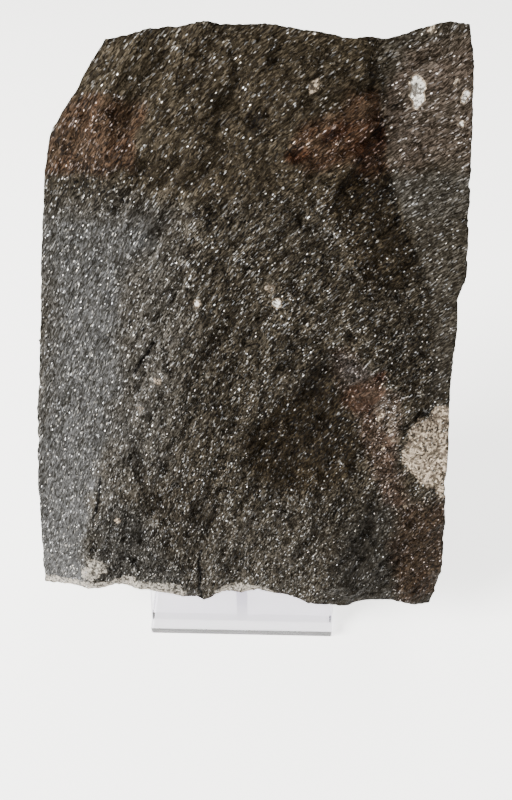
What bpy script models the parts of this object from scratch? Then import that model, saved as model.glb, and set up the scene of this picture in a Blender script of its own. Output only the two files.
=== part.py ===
"""A rough slab of lamprophyre that leans on a small clear moulded stand.

Units are metres and +Z is up. The slab's show face looks forward and up, towards -Y,
and +X is to the viewer's right. The origin is the middle of the stand's underside.

The slab is drawn in its own frame: u runs across the show face, v runs up along it
from its lower edge, and w stands out of it. The slab is one cut block whose points are
moved to the broken outline and to the relief of the two faces.
"""

import math

import bmesh
import bpy
from mathutils import Matrix, Vector, geometry, noise

MM = 0.001

OBJECT_NAME = "lamprophyre_on_stand"

# The lean of the back-rest, and so of the slab, away from upright
LEAN = math.radians(26)

# Stand: a base plate, a hollow wedge that carries the slab, a back-rest and two ribs
STAND_WIDTH = 50 * MM
BASE_DEPTH = 80 * MM
BASE_THICK = 3 * MM
WALL_THICK = 2.6 * MM
TOE_SETBACK = 2.6 * MM
CREST_SETBACK = 7.9 * MM
CREST_HEIGHT = 15.5 * MM
REST_LENGTH = 80 * MM
REST_ROOT = 0.8 * MM
REST_WIDTH = 46 * MM
REST_THICK = 4 * MM
REST_CORNER = 8 * MM
RIB_THICK = 3 * MM
RIB_REACH = 30 * MM
RIB_HEIGHT = 52 * MM
RIB_OVERLAP = 1.2 * MM
STAND_EDGE = 0.35 * MM
ARC_STEPS = 6
WELD_DISTANCE = 0.01 * MM

# Gap between the slab and the stand, which touch in real life
TOUCH_GAP = 0.3 * MM

# Slab: where the lower edge of its show face lies, and its greatest thickness
FACE_BEHIND_FRONT = 2.3 * MM
FACE_HEIGHT = 17.8 * MM
SLAB_THICK = 33 * MM
CELLS_ACROSS = 24
CELLS_UP = 31
CELLS_DEEP = 6
DEPTH_POWER = 1.4

# The broken outline of the show face, in millimetres of (u, v), one list a side
LEFT_SIDE = [(-52.8, 0.3), (-51.6, 14), (-51.1, 29), (-49.4, 49.5), (-47.1, 69), (-43.6, 90.7),
             (-41, 105), (-38.6, 111.8), (-33.2, 118.8), (-29.6, 124), (-26.4, 128.2)]
RIGHT_SIDE = [(49.7, -2.8), (51, 2), (51, 11), (50.1, 24.5), (49.2, 35), (48.9, 55), (48.8, 70),
              (48.1, 78), (49.4, 83), (48.4, 97), (46.8, 114.5), (45.4, 126.5), (44.2, 131.5)]
LOWER_EDGE = [(-52.8, 0.3), (-44, 1.6), (-34, 2.2), (-20, 0.5), (-15, -1), (-10, -3.2), (-7, -0.5),
              (2.4, 0.6), (7.6, 0.8), (15.6, -1.8), (22.3, -3.5), (29, -3.7), (35.4, -2),
              (49.7, -2.8)]
UPPER_EDGE = [(-26.4, 128.2), (-17.7, 130), (-7, 131.2), (4.5, 131), (17, 129.2), (22, 128.5),
              (29.4, 129.1), (36.3, 131.1), (40.8, 132.2), (44.2, 131.5)]

# Lines on the show face where its facets meet, in millimetres of (u, v), from low to high
FLANK_LINE = [(-40, 0), (-37, 16), (-34, 28), (-31, 42), (-23, 62), (-20, 80), (-28, 112)]
SCARP_TOP = [(32, 48), (29, 66), (26, 80), (20.5, 90), (19, 98), (22, 107), (25.5, 114), (23, 126)]
SCARP_FOOT = [(46, 50), (44, 66), (41, 80), (36.5, 91), (33, 99), (29.5, 106), (28.5, 116), (27, 128)]
VALLEY_LINE = [(34, 18), (31, 38), (25.5, 54), (17, 72)]
VALLEY_BROW = [(-6, 22), (-3, 38), (2, 50), (14, 66), (16.5, 72)]

# Fall of the facets out of the mean plane, in slopes and depths
FLANK_SLOPE = 0.24
FLANK_BORDER = 5 * MM
PANEL_DEPTH = 3.6 * MM
PANEL_SLOPE = 0.05
PANEL_BEND = 30 * MM
PANEL_TOP = 126 * MM
PANEL_TOP_FADE = 12 * MM
PANEL_TOP_PART = 0.35
PANEL_FOOT = (40 * MM, 62 * MM)
SCARP_LEAST = 0.5 * MM
VALLEY_DEPTH = 5.0 * MM
VALLEY_EAST = 13 * MM
VALLEY_LEAST = 2 * MM
VALLEY_LOW = (16 * MM, 37 * MM)
VALLEY_HIGH = (50 * MM, 74 * MM)
SCAR_CENTRE = (30 * MM, 97 * MM)
SCAR_RADIUS = 19 * MM
SCAR_RIM = 4 * MM
SCAR_DEPTH = 1.6 * MM
CROWN_LINE = 112 * MM
CROWN_SLOPE = 0.16
FOOT_LINE = 14 * MM
FOOT_SLOPE = 0.13

# Ropy ridges: length along, spacing across, and height
RIDGE_LENGTH = 40 * MM
RIDGE_SPACING = 8.5 * MM
RIDGE_HEIGHT = 0.8 * MM
RIDGE_STEEP = math.radians(66)
RIDGE_FLAT = math.radians(45)
RIDGE_TURN = (36 * MM, 60 * MM)
RIDGE_CLIMB = 0.2
LUMP_SIZE = 13 * MM
LUMP_HEIGHT = 1.1 * MM
LUMP_LEAST = 0.35
PANEL_SMOOTH = 0.8
FLANK_SMOOTH = 0.75

# Starts of the noise patterns, so that no two are alike
STEEP_START = 3.1
FLAT_START = 8.7
LUMP_START = 1.7
BACK_START = 6.3
SIDE_START = 4.4
UNDERSIDE_START = 9.1

# Back and side faces: slopes of the facets that thin the slab, and the lumps on them
BACK_TOP = (84 * MM, 0.20)
BACK_LEFT = (-27 * MM, 0.24)
BACK_RIGHT = (31 * MM, 0.32)
BACK_CLIMB = 0.02
BACK_LUMP = 2.2 * MM
BACK_LUMP_SIZE = 20 * MM
SIDE_INSET_LEFT = 4.5 * MM
SIDE_INSET_RIGHT = 6 * MM
SIDE_INSET_TOP = 6 * MM
SIDE_REACH = 0.3
SIDE_LUMP = 2.8 * MM
SIDE_LUMP_SIZE = 21 * MM
UNDERSIDE_LUMP = 2.2 * MM
UNDERSIDE_RISE = 2 * MM
UNDERSIDE_SLOPE = 0.04
UNDERSIDE_REACH = 6 * MM
SEAT_REACH = STAND_WIDTH / 2 + 4 * MM
SEAT_FADE = 4 * MM
SEAT_BUMP_PART = 0.6


def clamp(value, low=0.0, high=1.0):
    """Keep a value between two limits."""
    return max(low, min(high, value))


def smooth_step(value, low, high):
    """Rise from 0 at low to 1 at high along a soft S."""
    t = clamp((value - low) / (high - low))
    return t * t * (3 - 2 * t)


def at_height(line, v):
    """Where a line across the show face is at the height v, in metres."""
    for (u0, v0), (u1, v1) in zip(line, line[1:]):
        if v <= v1 * MM:
            t = clamp((v - v0 * MM) / ((v1 - v0) * MM))
            return (u0 + (u1 - u0) * t) * MM
    return line[-1][0] * MM


def along(line, t):
    """The point a share t of the way along a broken line, in metres."""
    points = [Vector(point) * MM for point in line]
    lengths = [(b - a).length for a, b in zip(points, points[1:])]
    left = t * sum(lengths)
    for start, end, length in zip(points, points[1:], lengths):
        if left <= length:
            return start.lerp(end, left / length)
        left -= length
    return points[-1]


def outline_point(s, t):
    """Blend the four broken sides over the unit square, so its rim follows all of them."""
    across = along(LOWER_EDGE, s).lerp(along(UPPER_EDGE, s), t)
    upward = along(LEFT_SIDE, t).lerp(along(RIGHT_SIDE, t), s)
    low = Vector(LOWER_EDGE[0]).lerp(Vector(LOWER_EDGE[-1]), s)
    high = Vector(UPPER_EDGE[0]).lerp(Vector(UPPER_EDGE[-1]), s)
    return across + upward - low.lerp(high, t) * MM


def streaks(u, v, angle, offset):
    """Round-backed ridges drawn out along one direction of the show face, from -1 to 1."""
    run = u * math.cos(angle) + v * math.sin(angle)
    span = v * math.cos(angle) - u * math.sin(angle)
    wave = noise.noise(Vector((run / RIDGE_LENGTH, span / RIDGE_SPACING, offset)))
    return math.cos(wave * math.pi * 2)


def ropy_ridges(u, v):
    """Ridges that climb to the right, flatter towards the right-hand side."""
    turn = smooth_step(u + RIDGE_CLIMB * v, *RIDGE_TURN)
    steep = streaks(u, v, RIDGE_STEEP, STEEP_START)
    flat = streaks(u, v, RIDGE_FLAT, FLAT_START)
    return (steep * (1 - turn) + flat * turn) * RIDGE_HEIGHT


def lumps(u, v, w, size, offset):
    """Rounded unevenness from about -1 to 1, in two sizes."""
    spot = Vector((u, v, w)) / size + Vector((offset, offset, offset))
    return noise.noise(spot) + 0.5 * noise.noise(spot * 2.3)


def hackly(u, v, w, size, offset):
    """Broken facets that meet along sharp creases, from about -1 to 1, in two sizes."""
    spot = Vector((u, v, w)) / size + Vector((offset, offset, offset))
    large = 1 - 3 * abs(noise.noise(spot))
    small = 1 - 3 * abs(noise.noise(spot * 2.1))
    return large * 0.8 + small * 0.2


def panel_share(u, v):
    """1 on the smooth panel along the right side, 0 on the rough middle."""
    top = at_height(SCARP_TOP, v)
    foot = at_height(SCARP_FOOT, v)
    inside = clamp((u - top) / max(foot - top, SCARP_LEAST))
    return inside * smooth_step(v, *PANEL_FOOT)


def valley_depth(u, v):
    """The shaded hollow low on the right: a long west slope and a short bright east one."""
    line = at_height(VALLEY_LINE, v)
    reach = max(line - at_height(VALLEY_BROW, v), VALLEY_LEAST) if u < line else VALLEY_EAST
    share = clamp(1 - abs(u - line) / reach)
    fade = smooth_step(v, *VALLEY_LOW) * (1 - smooth_step(v, *VALLEY_HIGH))
    return share * fade * VALLEY_DEPTH


def scar_depth(u, v):
    """A shell-shaped scar whose left rim is an arc in front of the panel."""
    offset = math.hypot(u - SCAR_CENTRE[0], v - SCAR_CENTRE[1])
    bowl = clamp((SCAR_RADIUS - offset) / SCAR_RIM)
    return bowl * SCAR_DEPTH * (1 - panel_share(u, v))


def show_face(u, v):
    """How far the show face stands out of its mean plane."""
    panel = panel_share(u, v)
    flank = max(at_height(FLANK_LINE, v) - u, 0)
    height = -FLANK_SLOPE * flank
    deep = PANEL_TOP_PART + (1 - PANEL_TOP_PART) * smooth_step(PANEL_TOP - v, 0, PANEL_TOP_FADE)
    height -= panel * (PANEL_DEPTH * deep + PANEL_SLOPE * max(u - PANEL_BEND, 0))
    height -= valley_depth(u, v)
    height -= scar_depth(u, v)
    height -= CROWN_SLOPE * max(v - CROWN_LINE, 0)
    height -= FOOT_SLOPE * max(FOOT_LINE - v, 0)
    rough = 1 - PANEL_SMOOTH * panel - FLANK_SMOOTH * clamp(flank / FLANK_BORDER) * (1 - panel)
    height += ropy_ridges(u, v) * rough
    lump_height = LUMP_HEIGHT * (LUMP_LEAST + (1 - LUMP_LEAST) * rough)
    return height + lumps(u, v, 0, LUMP_SIZE, LUMP_START) * lump_height


def back_face(u, v):
    """The hidden back: it lies flat on the back-rest, and is thinned by three facets."""
    top_start, top_slope = BACK_TOP
    left_start, left_slope = BACK_LEFT
    right_start, right_slope = BACK_RIGHT
    rise = max(0, (v - top_start) * top_slope)
    rise = max(rise, (left_start - u) * left_slope + BACK_CLIMB * v)
    rise = max(rise, (u - right_start) * right_slope)
    bump = hackly(u, v, 0, BACK_LUMP_SIZE, BACK_START)
    return -SLAB_THICK + rise + max(0, bump * BACK_LUMP)


def side_inset(s, t, depth, u, v, w):
    """How far the broken sides draw in behind the show face, as a vector."""
    lump = hackly(u, v, w, SIDE_LUMP_SIZE, SIDE_START) * SIDE_LUMP * smooth_step(depth, 0, SIDE_REACH)
    left = (SIDE_INSET_LEFT * depth + lump) * (1 - smooth_step(s, 0, SIDE_REACH))
    right = (SIDE_INSET_RIGHT * depth + lump) * smooth_step(s, 1 - SIDE_REACH, 1)
    top = (SIDE_INSET_TOP * depth + lump) * smooth_step(t, 1 - SIDE_REACH, 1)
    return Vector((left - right, -top))


def slab_point(s, t, depth):
    """Place one point of the block: s across, t up, depth from the show face to the back."""
    flat = outline_point(s, t)
    front = show_face(flat.x, flat.y)
    back = back_face(flat.x, flat.y)
    w = front + (back - front) * depth
    flat += side_inset(s, t, depth, flat.x, flat.y, w)
    return Vector((flat.x, flat.y, w))


def finish_underside(point, depth):
    """Lift the hidden underside behind its broken lip, and level it where it rests."""
    low = 1 - smooth_step(point.y, 0, UNDERSIDE_REACH)
    bump = max(0, hackly(point.x, 0, point.z, SIDE_LUMP_SIZE, UNDERSIDE_START)) * UNDERSIDE_LUMP
    rise = point.y + (UNDERSIDE_SLOPE * depth * SLAB_THICK + bump) * low
    behind_lip = smooth_step(depth * SLAB_THICK, 0, UNDERSIDE_RISE)
    on_seat = 1 - smooth_step(abs(point.x), SEAT_REACH, SEAT_REACH + SEAT_FADE)
    floor = seat_level() + TOUCH_GAP + SEAT_BUMP_PART * bump
    level = max(rise, floor) * on_seat + rise * (1 - on_seat)
    return Vector((point.x, point.y + (level - point.y) * behind_lip * low, point.z))


def face_axes():
    """The directions of v and w in the world, for a slab that leans by LEAN."""
    up_along = Vector((0, math.sin(LEAN), math.cos(LEAN)))
    outward = Vector((0, -math.cos(LEAN), math.sin(LEAN)))
    return up_along, outward


def face_origin():
    """The point of the world where u, v and w are all zero."""
    return Vector((0, FACE_BEHIND_FRONT - BASE_DEPTH / 2, FACE_HEIGHT))


def crest_point():
    """The front edge of the seat, at the top of the stand's front wall."""
    return Vector((0, CREST_SETBACK - BASE_DEPTH / 2, CREST_HEIGHT))


def seat_level():
    """The height of the seat's plane, measured along v."""
    up_along, _ = face_axes()
    return (crest_point() - face_origin()).dot(up_along)


def move_to_collection(piece, collection):
    """Keep an object in one named collection only."""
    for other in piece.users_collection:
        other.objects.unlink(piece)
    collection.objects.link(piece)


def make_material(name, colour, roughness, transmission=0.0, ior=1.45):
    """A plain Principled material in the colour that the piece has in daylight."""
    material = bpy.data.materials.new(name)
    material.use_nodes = True
    shader = material.node_tree.nodes["Principled BSDF"]
    shader.inputs["Base Color"].default_value = (*colour, 1.0)
    shader.inputs["Roughness"].default_value = roughness
    shader.inputs["Metallic"].default_value = 0.0
    shader.inputs["Transmission Weight"].default_value = transmission
    shader.inputs["IOR"].default_value = ior
    return material


def rock_material():
    """Dark brownish grey, fine-grained and a little glossy with mica."""
    return make_material("lamprophyre_rock", (0.055, 0.049, 0.045), 0.6)


def clear_material():
    """Clear moulded plastic with a faint lilac cast."""
    return make_material("clear_plastic", (0.96, 0.95, 0.98), 0.05, 1.0, 1.49)


def cut_in_cells(block, axis, cells):
    """Cut a unit cube into equal layers along one axis."""
    normal = Vector((0, 0, 0))
    normal[axis] = 1
    for number in range(1, cells):
        spot = normal * (number / cells - 0.5)
        geometry = block.verts[:] + block.edges[:] + block.faces[:]
        bmesh.ops.bisect_plane(block, geom=geometry, dist=1e-6, plane_co=spot, plane_no=normal)


def halve_front_cells(block):
    """Give the show face, where most of the relief is, cells of half the size."""
    middle = 0.5 - 0.5 / CELLS_DEEP
    front = [edge for edge in block.edges if all(vert.co.z > middle for vert in edge.verts)]
    bmesh.ops.subdivide_edges(block, edges=front, cuts=1, use_grid_fill=True)


def make_slab(collection):
    """The rock: a block in cells, moved point by point to its broken form."""
    block = bmesh.new()
    bmesh.ops.create_cube(block, size=1)
    cut_in_cells(block, 0, CELLS_ACROSS)
    cut_in_cells(block, 1, CELLS_UP)
    cut_in_cells(block, 2, CELLS_DEEP)
    halve_front_cells(block)
    for vert in block.verts:
        s, t = vert.co.x + 0.5, vert.co.y + 0.5
        depth = (0.5 - vert.co.z) ** DEPTH_POWER
        vert.co = finish_underside(slab_point(s, t, depth), depth)
    mesh = bpy.data.meshes.new("lamprophyre_slab")
    block.to_mesh(mesh)
    block.free()
    slab = bpy.data.objects.new("lamprophyre_slab", mesh)
    slab.location = face_origin()
    slab.rotation_euler = (math.pi / 2 - LEAN, 0, 0)
    mesh.materials.append(rock_material())
    collection.objects.link(slab)
    return slab


def plate(name, outlines, thick, matrix):
    """A flat plate: closed outlines filled, drawn out to a thickness, and put in place."""
    curve = bpy.data.curves.new(name, "CURVE")
    curve.dimensions = "2D"
    curve.fill_mode = "BOTH"
    curve.extrude = thick / 2 - STAND_EDGE
    curve.bevel_depth = STAND_EDGE
    curve.bevel_resolution = 1
    curve.offset = -STAND_EDGE
    for outline in outlines:
        spline = curve.splines.new("POLY")
        spline.points.add(len(outline) - 1)
        for point, (x, y) in zip(spline.points, outline):
            point.co = (x, y, 0, 1)
        spline.use_cyclic_u = True
    source = bpy.data.objects.new(name, curve)
    bpy.context.scene.collection.objects.link(source)
    bpy.context.view_layer.update()
    evaluated = source.evaluated_get(bpy.context.evaluated_depsgraph_get())
    mesh = bpy.data.meshes.new_from_object(evaluated)
    bpy.data.objects.remove(source)
    weld = bmesh.new()
    weld.from_mesh(mesh)
    bmesh.ops.remove_doubles(weld, verts=weld.verts, dist=WELD_DISTANCE)
    bmesh.ops.recalc_face_normals(weld, faces=weld.faces)
    weld.to_mesh(mesh)
    weld.free()
    piece = bpy.data.objects.new(name, mesh)
    piece.matrix_world = matrix
    bpy.context.scene.collection.objects.link(piece)
    return piece


def side_profile_matrix(x):
    """Stand a plate up so its x runs back along +Y and its y runs up."""
    turn = Matrix.Rotation(math.pi / 2, 4, "Z") @ Matrix.Rotation(math.pi / 2, 4, "X")
    return Matrix.Translation((x, 0, 0)) @ turn


def seat_points():
    """The stand in side view: its crest, and the directions back along the seat and up."""
    crest = Vector((CREST_SETBACK - BASE_DEPTH / 2, CREST_HEIGHT))
    back = Vector((math.cos(LEAN), -math.sin(LEAN)))
    up = Vector((math.sin(LEAN), math.cos(LEAN)))
    return crest, back, up


def down_to(start, direction, level):
    """Follow a direction in side view until it comes to a height."""
    return start + direction * ((level - start.y) / direction.y)


def rest_setback():
    """How far back along the seat the back-rest's face stands: just behind the slab."""
    _, outward = face_axes()
    reach = (face_origin() - crest_point()).dot(outward)
    return SLAB_THICK - reach + TOUCH_GAP


def base_and_wedge():
    """Side view of the base plate with the wedge that carries the slab, and its hollow."""
    front = -BASE_DEPTH / 2
    crest, back, up = seat_points()
    toe = Vector((front + TOE_SETBACK, BASE_THICK))
    seat_end = down_to(crest, back, BASE_THICK)
    outer = [(front, 0), (-front, 0), (-front, BASE_THICK), tuple(seat_end)]
    outer += [tuple(crest), tuple(toe), (front, BASE_THICK)]
    wall = (crest - toe).normalized()
    inner_toe = toe + Vector((WALL_THICK / wall.y, 0))
    under = crest - up * WALL_THICK
    tail = down_to(under, back, BASE_THICK)
    peak = geometry.intersect_line_line_2d(inner_toe, inner_toe + wall, tail, tail - back)
    hollow = [tuple(inner_toe), tuple(peak), tuple(tail)]
    return plate("stand_body", [outer, hollow], STAND_WIDTH, side_profile_matrix(0))


def rounded_rest():
    """The back-rest seen from the front: a plate with two round upper corners."""
    half = REST_WIDTH / 2
    outline = [(-half, -REST_ROOT), (half, -REST_ROOT)]
    for side in (1, -1):
        for step in range(ARC_STEPS + 1):
            turn = math.pi / 2 * (step / ARC_STEPS)
            turn = turn if side == 1 else math.pi / 2 - turn
            x = side * (half - REST_CORNER + REST_CORNER * math.cos(turn))
            outline.append((x, REST_LENGTH - REST_CORNER + REST_CORNER * math.sin(turn)))
    return outline


def back_rest():
    """The leaning plate behind the slab."""
    crest, back, _ = seat_points()
    middle = crest + back * (rest_setback() + REST_THICK / 2)
    place = Matrix.Translation((0, middle.x, middle.y))
    lean = Matrix.Rotation(math.pi / 2 - LEAN, 4, "X")
    return plate("stand_rest", [rounded_rest()], REST_THICK, place @ lean)


def rib(name, outline):
    """A thin upright rib in the middle of the stand."""
    return plate(name, [outline], RIB_THICK, side_profile_matrix(0))


def front_rib():
    """The rib that fills the wedge's hollow and ties its walls together."""
    crest, back, up = seat_points()
    under = crest - up * (WALL_THICK - RIB_OVERLAP)
    toe = -BASE_DEPTH / 2 + TOE_SETBACK + WALL_THICK - RIB_OVERLAP
    level = BASE_THICK - RIB_OVERLAP
    return rib("front_rib", [(toe, level), tuple(under), tuple(down_to(under, back, level))])


def rear_rib():
    """The gusset between the back-rest and the base plate."""
    crest, back, up = seat_points()
    root = crest + back * (rest_setback() + REST_THICK - RIB_OVERLAP)
    low = down_to(root, up, BASE_THICK - RIB_OVERLAP)
    return rib("rear_rib", [tuple(low), (low.x + RIB_REACH, low.y), tuple(low + up * RIB_HEIGHT)])


def join(body, pieces, cutters):
    """Unite plates with a body by exact Booleans, and keep the plates as hidden guides."""
    for piece in pieces:
        union = body.modifiers.new("join_" + piece.name, "BOOLEAN")
        union.operation = "UNION"
        union.solver = "EXACT"
        union.object = piece
        piece.hide_render = True
        piece.display_type = "WIRE"
        move_to_collection(piece, cutters)


def make_stand(collection, cutters):
    """The clear stand: one moulding with small rounded edges."""
    stand = base_and_wedge()
    stand.name = "display_stand"
    stand.data.name = "display_stand"
    join(stand, [back_rest(), front_rib(), rear_rib()], cutters)
    stand.data.materials.append(clear_material())
    move_to_collection(stand, collection)
    return stand


def main():
    """Clear the scene, then build the two pieces."""
    for old in list(bpy.data.objects):
        bpy.data.objects.remove(old)
    collection = bpy.data.collections.new(OBJECT_NAME)
    cutters = bpy.data.collections.new("guides")
    bpy.context.scene.collection.children.link(collection)
    bpy.context.scene.collection.children.link(cutters)
    make_stand(collection, cutters)
    make_slab(collection)


main()
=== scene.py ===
# %% [markdown]
# A slab of lamprophyre that leans on a small clear stand
#
# Lamprophyre is a dark dyke rock, packed with small mica flakes that flash when light catches
# them. The solids of the slab and of its moulded stand are already made, at their real size.
# This notebook dresses them: the slab gets its fine broken surface, its minerals and its
# stains, and the stand gets its clear plastic. No solid is moved or resized.

# %% Load the fixed frame
import math

import bmesh
import bpy
from mathutils import Euler, Matrix, Vector, kdtree, noise


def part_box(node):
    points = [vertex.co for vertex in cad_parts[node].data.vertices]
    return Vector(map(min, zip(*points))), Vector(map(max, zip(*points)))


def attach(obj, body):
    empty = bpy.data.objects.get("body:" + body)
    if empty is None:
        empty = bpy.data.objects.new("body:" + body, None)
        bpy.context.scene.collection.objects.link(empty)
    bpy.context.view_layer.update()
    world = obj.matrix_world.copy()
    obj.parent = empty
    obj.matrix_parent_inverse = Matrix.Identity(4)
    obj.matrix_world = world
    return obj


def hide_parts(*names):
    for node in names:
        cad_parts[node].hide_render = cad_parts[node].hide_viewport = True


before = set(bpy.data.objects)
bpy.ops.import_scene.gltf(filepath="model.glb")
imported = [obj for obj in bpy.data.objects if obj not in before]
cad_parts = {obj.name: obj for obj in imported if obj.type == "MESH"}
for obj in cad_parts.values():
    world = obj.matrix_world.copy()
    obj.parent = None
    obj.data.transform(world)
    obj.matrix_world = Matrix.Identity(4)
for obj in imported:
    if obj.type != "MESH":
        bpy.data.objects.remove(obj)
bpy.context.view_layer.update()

# %% [markdown]
# The slab leans back, so its features are easiest to place on its own show face. There u runs
# across to the right, v runs up along the face from its lower edge, and w stands out of it.
# One matrix takes a point of the room to that frame. The same turn is used later by a Mapping
# node, so that geometry and colour agree to the hair.

# %% The frame of the show face
MM = 0.001
LEAN = math.radians(26)
STAND_LOW, STAND_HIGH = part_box("display_stand")
FACE_ORIGIN = Vector((0, STAND_LOW.y + 2.3 * MM, 17.8 * MM))
FACE_TURN = Euler((math.pi / 2 - LEAN, 0, 0))
FROM_FACE = Matrix.Translation(FACE_ORIGIN) @ FACE_TURN.to_matrix().to_4x4()
TO_FACE = FROM_FACE.inverted()
FACE_OUT = FACE_TURN.to_matrix().col[2]
print("the show face looks towards", FACE_OUT[:])

# %% [markdown]
# The camera comes early, because every render is seen through it. The slab is seen from
# close above, at 46 degrees down, which is only about 20 degrees off square to the show face.

# %% Camera
FRAME_HEIGHT = 800
FOCAL_PIXELS = 630
SENSOR = 36
CAMERA_PLACE = Vector((5.6 * MM, -113.6 * MM, 172.1 * MM))
CAMERA_DOWN = math.radians(46.4)
CAMERA_YAW = math.radians(1.2)


def make_camera():
    """Stand the camera where it sees the slab in the right perspective."""
    data = bpy.data.cameras.new("camera")
    data.sensor_width = SENSOR
    data.lens = FOCAL_PIXELS / FRAME_HEIGHT * SENSOR
    data.clip_start = 10 * MM
    camera = bpy.data.objects.new("camera", data)
    camera.rotation_euler = (math.pi / 2 - CAMERA_DOWN, 0, CAMERA_YAW)
    camera.location = CAMERA_PLACE
    bpy.context.scene.collection.objects.link(camera)
    bpy.context.scene.camera = camera
    return camera


camera = make_camera()
print("lens", round(camera.data.lens, 2), "mm at", camera.location[:])

# %% [markdown]
# A broken surface has its relief at many scales, and the solid has only the largest. The fine
# scales could come from a Displace modifier, from a bump in the material, or from moving the
# points of a finer mesh. Only the last gives real forms from all sides and also lets single
# pits and cracks be placed by hand. So the slab's mesh is copied, merged and cut finer here.

# %% A finer copy of the slab
MERGE_DISTANCE = 0.001 * MM
FINE_CUTS = 3
SMOOTH_ROUNDS = 2
KEEP_ANGLE = math.radians(40)


def finer_copy(node, cuts):
    """Copy a solid's mesh, merge its loose triangles and cut each edge into shorter ones."""
    shape = bmesh.new()
    shape.from_mesh(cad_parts[node].data)
    bmesh.ops.remove_doubles(shape, verts=shape.verts, dist=MERGE_DISTANCE)
    bmesh.ops.join_triangles(
        shape, faces=shape.faces, angle_face_threshold=math.pi, angle_shape_threshold=math.pi)
    bmesh.ops.subdivide_edges(shape, edges=shape.edges, cuts=cuts, use_grid_fill=True)
    sharp = {vert for edge in shape.edges if edge.calc_face_angle(0) > KEEP_ANGLE for vert in edge.verts}
    soft = [vert for vert in shape.verts if vert not in sharp]
    for _ in range(SMOOTH_ROUNDS):
        bmesh.ops.smooth_vert(
            shape, verts=soft, factor=0.5, use_axis_x=True, use_axis_y=True, use_axis_z=True)
    return shape


rock_shape = finer_copy("lamprophyre_slab", FINE_CUTS)
print("the finer slab has", len(rock_shape.verts), "points")

# %% [markdown]
# Mica flakes and ridges in the rock are drawn out along one direction, the grain. On the left
# it climbs steeply to the right, and towards the right-hand side it flattens, like a fan. The
# fan is made by turning the plane by an angle that depends on the place. The two coordinates
# after the turn are called run, along the grain, and span, across it.

# %% The fan of the grain
GRAIN_STEEP = math.radians(65)
GRAIN_FLAT = math.radians(43)
GRAIN_MIDDLE = Vector((0, 65 * MM, 0))
GRAIN_REACH = 140 * MM
GRAIN_CLIMB = 0.53


def soft_step(value, low, high):
    """Go from 0 at low to 1 at high along a soft S. High may be the smaller of the two."""
    t = min(max((value - low) / (high - low), 0), 1)
    return t * t * (3 - 2 * t)


def grain_place(spot):
    """Turn a point of the face frame into run, span and w."""
    x, y = spot.x - GRAIN_MIDDLE.x, spot.y - GRAIN_MIDDLE.y
    share = min(max((x + y * GRAIN_CLIMB) / GRAIN_REACH + 0.5, 0), 1)
    turn = GRAIN_STEEP + (GRAIN_FLAT - GRAIN_STEEP) * share
    run = x * math.cos(turn) + y * math.sin(turn)
    span = y * math.cos(turn) - x * math.sin(turn)
    return Vector((run, span, spot.z))


print("the grain climbs at", round(math.degrees(GRAIN_STEEP)), "degrees where it is steepest")

# %% [markdown]
# The parts of the show face are named by lines and outlines in millimetres of u and v: the
# smoother flank on the left, the smooth panel on the right, the dark facets where the light
# does not reach, and the pale places. A signed distance tells how far inside an outline a
# point is, so that one function serves relief and colour alike.

# %% Parts of the show face
FLANK_LINE = [(-36.5, 0), (-36, 12.4), (-35, 25), (-31.8, 34), (-24.4, 45.6), (-23, 58), (-23, 70),
              (-19.4, 86.3), (-9.8, 95.4)]
PANEL_LINE = [(43.6, 56), (43, 68), (39.2, 84.4), (34.3, 94.6), (29.6, 104.3), (28.8, 114.7),
              (27.8, 119.2), (26.2, 124.5), (25.4, 127)]
# The dark facet, hollow, scar, recess and corner carry painted shade in the tone further on.
DARK_FACET = [(18.8, 66.8), (21.3, 58.8), (25.4, 49.6), (30.5, 39.2), (26.3, 33), (18.9, 30),
              (11.3, 31), (3.7, 35), (0, 44.4), (7.9, 52.4), (13.5, 58.6)]
DARK_HOLLOW = [(19, 67.5), (20.5, 60), (17, 55), (11.5, 56.5), (14, 62)]
DARK_SCAR = [(19.6, 103.1), (30.3, 104.1), (34.3, 94.6), (39.2, 84.4), (34.3, 80.3), (26.8, 81.6),
             (23, 89.4), (19.4, 95.7)]
DARK_RECESS = [(26.7, 117.6), (29.1, 112.2), (29.5, 104.4), (24, 103), (25.7, 110.4), (25.6, 116.9)]
DARK_BAND = [(-44, 102.7), (-25, 102.9), (-25.3, 98.4), (-44, 97)]
DARK_CORNER = [(24, 22), (36, 30), (52, 27), (52, -4), (22, -4)]
DARK_MOTTLE = [(33, 69.5), (43.4, 69.6), (44.7, 57.9), (36, 56)]
FAR_OUTSIDE = 6 * MM
FLANK_WAVE = 7 * MM
FLANK_BORDER = (-3 * MM, 9 * MM)
FLANK_TOP = (104 * MM, 90 * MM)
PANEL_BORDER = 1.2 * MM
PANEL_FOOT = (50 * MM, 60 * MM)


def across_at(line, v):
    """Where a line that climbs the face is at the height v."""
    for (u0, v0), (u1, v1) in zip(line, line[1:]):
        if v <= v1 * MM:
            share = min(max((v / MM - v0) / (v1 - v0), 0), 1)
            return (u0 + (u1 - u0) * share) * MM
    return line[-1][0] * MM


def line_distance(line, spot):
    """The shortest way from a point of the face to a broken line."""
    nearest = math.inf
    for start, end in zip(line, line[1:]):
        a, b = Vector(start) * MM, Vector(end) * MM
        share = min(max((spot - a).dot(b - a) / (b - a).length_squared, 0), 1)
        nearest = min(nearest, (spot - a.lerp(b, share)).length)
    return nearest


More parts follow.
